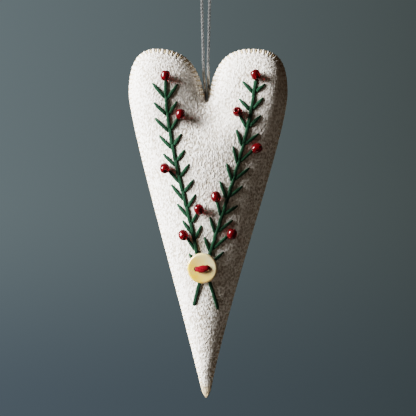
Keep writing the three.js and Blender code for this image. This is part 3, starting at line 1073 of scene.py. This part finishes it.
def floss_stitch(
    making, line, width, strands=5, steps=18, bow=0.0,
    sink_start=0.6, sink_end=0.6, taper=(0.3, 0.8),
):
    """One stitch of stranded floss on the front.

    Taper says how much and over what length its end thins out.
    """
    shares = np.linspace(0, 1, steps)
    flat = resampled(np.asarray(line, float), shares)
    ways = unit(np.gradient(flat, axis=0))
    sideways = np.column_stack([ways[:, 1], -ways[:, 0]])
    length = run_of(flat)[-1]
    from_start, from_end = shares * length, (1 - shares) * length
    dive = sink_start * np.exp(-(from_start / DIVE_LENGTH) ** 1.5)
    dive = dive + sink_end * np.exp(-(from_end / DIVE_LENGTH) ** 1.5)
    gather = 1 - 0.3 * np.exp(-(from_start / 0.8) ** 2)
    gather = gather - taper[0] * np.exp(-(from_end / taper[1]) ** 2)
    phase = random.uniform(0, 2 * np.pi)
    turn = 2 * np.pi / FLOSS_LAY
    lift = LIFT + bow * np.sin(np.pi * shares) - dive
    centre, normals = on_front(flat, lift)
    across = np.column_stack([sideways[:, 0], np.zeros(steps), sideways[:, 1]])
    across = unit(across - normals * (across * normals).sum(1)[:, None])
    for k in range(strands):
        angle = phase + 2 * np.pi * k / strands + from_start * turn
        reach = (width / 2 - STRAND_RADIUS) * gather
        path = (
            centre
            + across * (np.cos(angle) * reach)[:, None]
            + normals * (np.sin(angle) * reach * FLATNESS)[:, None]
        )
        add_tube(making, path, STRAND_RADIUS * (0.5 + 0.5 * gather), sides=7)


def shortened(line, start, end):
    """A line with some of its length taken off its two ends."""
    length = run_of(line)[-1]
    return resampled(line, np.linspace(start / length, 1 - end / length, 24))


def bead_room(pose):
    rise = math.radians(abs(pose[1]))
    return (math.cos(rise) * BEAD_LENGTH + math.sin(rise) * BEAD_DIAMETER) / 2


def sprig(name):
    line, leaves, stalks, beads = PLANS[name]
    making = Making()
    room = bead_room(beads[0][2])
    whole = shortened(line, room * 0.6, 0)
    stitches = round(run_of(whole)[-1] / STEM_STITCH)
    for i in range(stitches):
        start = max(0, (i - STEM_LAP) / stitches)
        end = min(1, (i + 1 + STEM_LAP) / stitches)
        stretch = resampled(whole, np.linspace(start, end, 12))
        stretch[:, 0] += np.linspace(STEM_SLANT, -STEM_SLANT, 12)
        floss_stitch(making, stretch, STEM_WIDTH + 0.1, bow=0.12, steps=18)
    for root, tip in leaves:
        floss_stitch(
            making, np.array([root, tip]), LEAF_WIDTH + 0.15,
            bow=0.12, sink_end=0.35, taper=(0.65, 1.7),
        )
    for (root, tip), bead_plan in zip(stalks, beads[1:]):
        stalk = shortened(np.array([tip, root]), bead_room(bead_plan[2]) * 0.55, 0)
        floss_stitch(making, stalk, LEAF_WIDTH, bow=0.1, sink_start=0)
    piece(
        name + "_sprig", making.mesh(name + "_sprig", [GREEN_FLOSS]),
        ["sprig_" + name],
    )


def tail(name):
    making = Making()
    start, end = place(TAILS[name])
    line = np.array([start + (start - end) * 0.12, end])
    floss_stitch(making, line, STEM_WIDTH + 0.1, bow=0.1, steps=22)
    piece(
        name + "_stem_tail", making.mesh(name + "_stem_tail", [GREEN_FLOSS]),
        ["stem_tail_" + name],
    )


for side_name in SPRIGS:
    sprig(side_name)
    tail(side_name)


# Beads.

LINING_REACH = 1.62


def lathe(profile, sides, axis, centre, reference):
    """A closed ring turned from a closed profile of (radius, along) points."""
    axis = unit(axis)
    first = unit(np.cross(axis, reference))
    second = np.cross(axis, first)
    angles = np.linspace(0, 2 * np.pi, sides, endpoint=False)
    profile = np.asarray(profile)
    around = first[None] * np.cos(angles)[:, None] + second[None] * np.sin(angles)[:, None]
    spots = (
        centre
        + around[:, None] * profile[None, :, :1]
        + axis * profile[None, :, 1:]
    ).reshape(-1, 3)
    count = len(profile)
    i = np.repeat(np.arange(sides), count)
    j = np.tile(np.arange(count), sides)
    i_next, j_next = (i + 1) % sides, (j + 1) % count
    faces = np.column_stack([
        i * count + j, i_next * count + j, i_next * count + j_next, i * count + j_next,
    ])
    return spots, faces.tolist()


def bead_profile(outer, inner, length):
    """A rounded bead's section, as a closed loop."""
    angles = np.linspace(-np.pi / 2, np.pi / 2, 33)
    shape = 0.82
    outside = [
        (outer * abs(math.cos(a)) ** shape, length / 2 * math.copysign(abs(math.sin(a)) ** shape, a))
        for a in angles
    ]
    outside = [spot for spot in outside if spot[0] > inner + 0.2]
    end = outside[-1][1]
    lip = [(inner + 0.08, end * 0.97), (inner, end * 0.86)]
    return outside + lip + [(radius, -along) for radius, along in reversed(lip)]


def bead(name, index, spot, way, pose):
    centre, hole = bead_centre(spot, way, pose)
    making = Making()
    label = f"{name}_bead_{index}"
    outer = bead_profile(BEAD_DIAMETER / 2 + 0.06, BEAD_HOLE / 2 + 0.1, BEAD_LENGTH * 1.06)
    making.add(*lathe(outer, 40, hole, centre, (0.2, 0.3, 1)))
    bore = BEAD_HOLE / 2
    lining = [
        (bore + 0.09, LINING_REACH), (bore + 0.09, -LINING_REACH),
        (bore, -LINING_REACH), (bore, LINING_REACH),
    ]
    making.add(*lathe(lining, 32, hole, centre, (0.2, 0.3, 1)), look=1)
    piece(
        label, making.mesh(label, [RED_GLASS, BEAD_LINING]),
        [f"bead_{name}_{index}"],
    )


for side_name, plan in PLANS.items():
    for number, bead_plan in enumerate(plan[3], 1):
        bead(side_name, number, *bead_plan)


# Button and its tie.

def button_frame():
    """The button's middle at its back, its right, its outward and its downward way."""
    position, normal = on_front(place(BUTTON_AT), GAP + STEM_WIDTH + GAP)
    turn = -math.radians(BUTTON_TURN)
    x, y, z = normal[0]
    out = np.array([
        x * math.cos(turn) - y * math.sin(turn),
        x * math.sin(turn) + y * math.cos(turn),
        z,
    ])
    right = unit(-np.cross(out, (0, 0, 1)))
    down = np.cross(right, out)
    slant = math.radians(HOLE_SLANT)
    return (
        position[0],
        right * math.cos(slant) - down * math.sin(slant),
        out,
        down * math.cos(slant) + right * math.sin(slant),
    )


BUTTON_POSE = button_frame()


def in_button(points):
    """Points given as right, out and down of the button, in the heart's frame."""
    position, right, out, down = BUTTON_POSE
    points = np.asarray(points, float)
    return position + points[:, :1] * right + points[:, 1:2] * out + points[:, 2:3] * down


def rounded(centre, radius, start, end, steps):
    angles = np.radians(np.linspace(start, end, steps))
    return [
        (centre[0] + radius * math.cos(a), centre[1] + radius * math.sin(a)) for a in angles
    ]


def ring_faces(rings, sides):
    """The faces that join each ring of points to the next."""
    faces = []
    for i in range(rings - 1):
        for k in range(sides):
            k_next = (k + 1) % sides
            corners = [(i, k), (i + 1, k), (i + 1, k_next), (i, k_next)]
            faces.append([ring * sides + corner for ring, corner in corners])
    return faces


def button():
    outer = BUTTON_DIAMETER / 2
    bend = BUTTON_ROUND
    dish = BUTTON_THICKNESS - BUTTON_DISH
    inner_rim = outer - BUTTON_RIM - bend
    profile = [(0, 0.0), (outer * 0.5, 0.0)]
    profile += rounded((outer - bend, bend), bend, -90, 0, 9)
    profile += rounded((outer - bend, BUTTON_THICKNESS - bend), bend, 0, 90, 12)
    ease = np.linspace(0, 1, 12)[1:]
    start, end = outer - bend, inner_rim * 0.45
    for share in ease:
        fall = share * share * (3 - 2 * share)
        profile.append((start + (end - start) * share, BUTTON_THICKNESS - BUTTON_DISH * fall))
    profile += [(inner_rim * 0.2, dish), (0, dish)]
    sides = 96
    angles = np.linspace(0, 2 * np.pi, sides, endpoint=False)
    spots = [
        (radius * math.cos(a), height, radius * math.sin(a))
        for radius, height in profile for a in angles
    ]
    making = Making()
    making.add(in_button(spots), ring_faces(len(profile), sides))
    mesh = making.mesh("shell_button", [SHELL])
    weld(mesh)
    drilled(piece("shell_button", mesh, ["button"]))


def drilled(thing):
    """Cuts the two thread holes, with eased mouths, and applies the cut."""
    making = Making()
    dished = BUTTON_THICKNESS - BUTTON_DISH
    sides = 32
    angles = np.linspace(0, 2 * np.pi, sides, endpoint=False)
    for side in (-1, 1):
        middle = side * HOLE_SPACING / 2
        radius = HOLE_DIAMETER / 2
        profile = [
            (radius + 0.3, BUTTON_THICKNESS), (radius + 0.3, dished + 0.1),
            (radius + 0.12, dished - 0.1), (radius, dished - 0.35), (radius, -0.5),
        ]
        spots = [
            (middle + r * math.cos(a), height, r * math.sin(a))
            for r, height in profile for a in angles
        ]
        faces = ring_faces(len(profile), sides)
        faces.append(list(range(sides)))
        faces.append([(len(profile) - 1) * sides + k for k in range(sides)][::-1])
        start = making.count
        making.spots.append(in_button(spots))
        making.faces += [[corner + start for corner in face] for face in faces]
        making.looks += [0] * len(faces)
        making.count += len(spots)
    mesh = making.mesh("drill", [SHELL])
    weld(mesh)
    drill = bpy.data.objects.new("drill", mesh)
    bpy.context.scene.collection.objects.link(drill)
    cut = thing.modifiers.new("holes", "BOOLEAN")
    cut.object = drill
    cut.solver = "EXACT"
    bpy.context.view_layer.update()
    shown = thing.evaluated_get(bpy.context.evaluated_depsgraph_get())
    result = bpy.data.meshes.new_from_object(shown)
    thing.modifiers.clear()
    thing.data = result
    bpy.data.objects.remove(drill)


TIE_SHIFT = 0.35
TIE_STRAND = 0.34
TIE_SQUEEZE = 0.5


def button_tie():
    """Strands up out of one hole, over the dish and down the other."""
    dish = BUTTON_THICKNESS - BUTTON_DISH
    leg = HOLE_DIAMETER / 2 - GAP
    side = HOLE_SPACING / 2
    top = dish + GAP + leg
    making = Making()
    offsets = [
        (-1.1, 0.0), (-0.6, 0.3), (0.0, 0.4), (0.6, 0.3), (1.1, 0.0), (-0.35, -0.15), (0.35, -0.15),
    ]
    for across, raised in offsets:
        inner = across * TIE_SQUEEZE
        jitter = random.normal(0, 0.05, 2)
        over = top - 0.15 + raised * 0.4
        route = [
            (-side - raised * 0.4, -0.6, inner),
            (-side - raised * 0.4, dish * 0.5, inner),
            (-side - 0.15 - raised * 0.4, dish, inner),
            (-side * 0.92, over, across * 0.55 + jitter[0]),
            (TIE_SHIFT, top + TIE_RISE * 0.1 + raised * 0.8, across),
            (TIE_SHIFT + side * 0.95, over, across * 0.6 + jitter[1]),
            (side + 0.5 + raised * 0.5, dish + 0.1, inner),
            (side + raised * 0.4, dish * 0.5, inner),
            (side + raised * 0.4, -0.6, inner),
        ]
        add_tube(making, in_button(smooth_line(route, 34)), TIE_STRAND, sides=8)
    piece("button_thread", making.mesh("button_thread", [RED_THREAD]), ["button_tie"])


button()
button_tie()


# Studio: a pale floor below the view, a slate backdrop colour and a soft side light.

FLOOR_HEIGHT = -0.41
# The slate backdrop, with painted light: lighter to the left and above.
SWEEP = (("X", -0.1, 0.1, "LINEAR"), ("Z", -0.1, 0.01, "SMOOTHSTEP"))
SLATE_BELOW = ((0.076, 0.098, 0.115), (0.052, 0.065, 0.07))
SLATE_ABOVE = ((0.12, 0.149, 0.158), (0.067, 0.08, 0.08))
GLOW = (0.058, 0.046, 0.035)
FLOOR_RADIUS = 0.19
FLOOR_THICKNESS = 0.006
FLOOR_BEVEL = 0.0015


def floor():
    pale, tree, shader = material("Pale studio floor", 0.8)
    coords = tree.nodes.new("ShaderNodeTexCoord")
    grain = node(tree, "ShaderNodeTexNoise", scale=60.0, detail=3.0)
    link(tree, coords.outputs["Object"], grain.inputs["Vector"])
    color = mix_colors(tree, grain.outputs["Fac"], (0.62, 0.61, 0.59, 1), (0.68, 0.67, 0.65, 1))
    link(tree, color, shader.inputs["Base Color"])
    eased = FLOOR_BEVEL * 0.3
    rings = [
        (FLOOR_RADIUS, FLOOR_HEIGHT - FLOOR_THICKNESS), (FLOOR_RADIUS, FLOOR_HEIGHT - FLOOR_BEVEL),
        (FLOOR_RADIUS - eased, FLOOR_HEIGHT - eased), (FLOOR_RADIUS - FLOOR_BEVEL, FLOOR_HEIGHT),
    ]
    sides = 96
    spots = [
        (radius * math.cos(a), radius * math.sin(a), height)
        for radius, height in rings for a in np.linspace(0, 2 * np.pi, sides, endpoint=False)
    ]
    faces = [face[::-1] for face in ring_faces(len(rings), sides)]
    faces.append(list(range((len(rings) - 1) * sides, len(rings) * sides)))
    faces.append(list(range(sides))[::-1])
    mesh = bpy.data.meshes.new("studio_floor")
    mesh.from_pydata(spots, [], faces)
    mesh.materials.append(pale)
    thing = bpy.data.objects.new("studio_floor", mesh)
    bpy.context.scene.collection.objects.link(thing)


def area_light(name, azimuth, elevation, distance, size, power, spread, color):
    """A soft light aimed at the heart; azimuth 0 is in front and 90 on the left."""
    data = bpy.data.lights.new(name, "AREA")
    data.shape = "DISK"
    data.size = size
    data.energy = power
    data.spread = math.radians(spread)
    data.color = color
    lamp = bpy.data.objects.new(name, data)
    a, e = math.radians(azimuth), math.radians(elevation)
    way = Vector((-math.sin(a) * math.cos(e), -math.cos(a) * math.cos(e), math.sin(e)))
    lamp.location = Vector((0, 0, VIEW_MIDDLE[1])) + way * distance
    lamp.rotation_mode = "QUATERNION"
    lamp.rotation_quaternion = way.to_track_quat("Z", "Y")
    bpy.context.scene.collection.objects.link(lamp)


def backdrop():
    """A slate sweep with painted light, lighter on the left and above, and a dim warm glow as light.
    """
    world = bpy.data.worlds.new("studio")
    world.use_nodes = True
    tree = world.node_tree
    coords = tree.nodes.new("ShaderNodeTexCoord")
    parts = tree.nodes.new("ShaderNodeSeparateXYZ")
    link(tree, coords.outputs["Generated"], parts.inputs[0])
    # Painted light on the backdrop: lighter towards the left and the top.
    shares = [
        ranged(tree, parts.outputs[axis], (start, end), easing=easing)
        for axis, start, end, easing in SWEEP
    ]
    below = mix_colors(tree, shares[0], *[(*color, 1) for color in SLATE_BELOW])
    above = mix_colors(tree, shares[0], *[(*color, 1) for color in SLATE_ABOVE])
    slate = mix_colors(tree, shares[1], below, above)
    background = tree.nodes["Background"]
    link(tree, slate, background.inputs["Color"])
    glow = tree.nodes.new("ShaderNodeBackground")
    glow.inputs["Color"].default_value = (*GLOW, 1)
    path = tree.nodes.new("ShaderNodeLightPath")
    mix = tree.nodes.new("ShaderNodeMixShader")
    link(tree, path.outputs["Is Camera Ray"], mix.inputs[0])
    link(tree, glow.outputs[0], mix.inputs[1])
    link(tree, background.outputs[0], mix.inputs[2])
    link(tree, mix.outputs[0], tree.nodes["World Output"].inputs["Surface"])
    bpy.context.scene.world = world


floor()
backdrop()
area_light(
    "key", azimuth=73, elevation=20, distance=0.8, size=0.6, power=4.9, spread=60,
    color=(1.0, 0.99, 0.98),
)
bpy.context.scene.view_settings.view_transform = "Filmic"
bpy.context.scene.view_settings.look = "High Contrast"
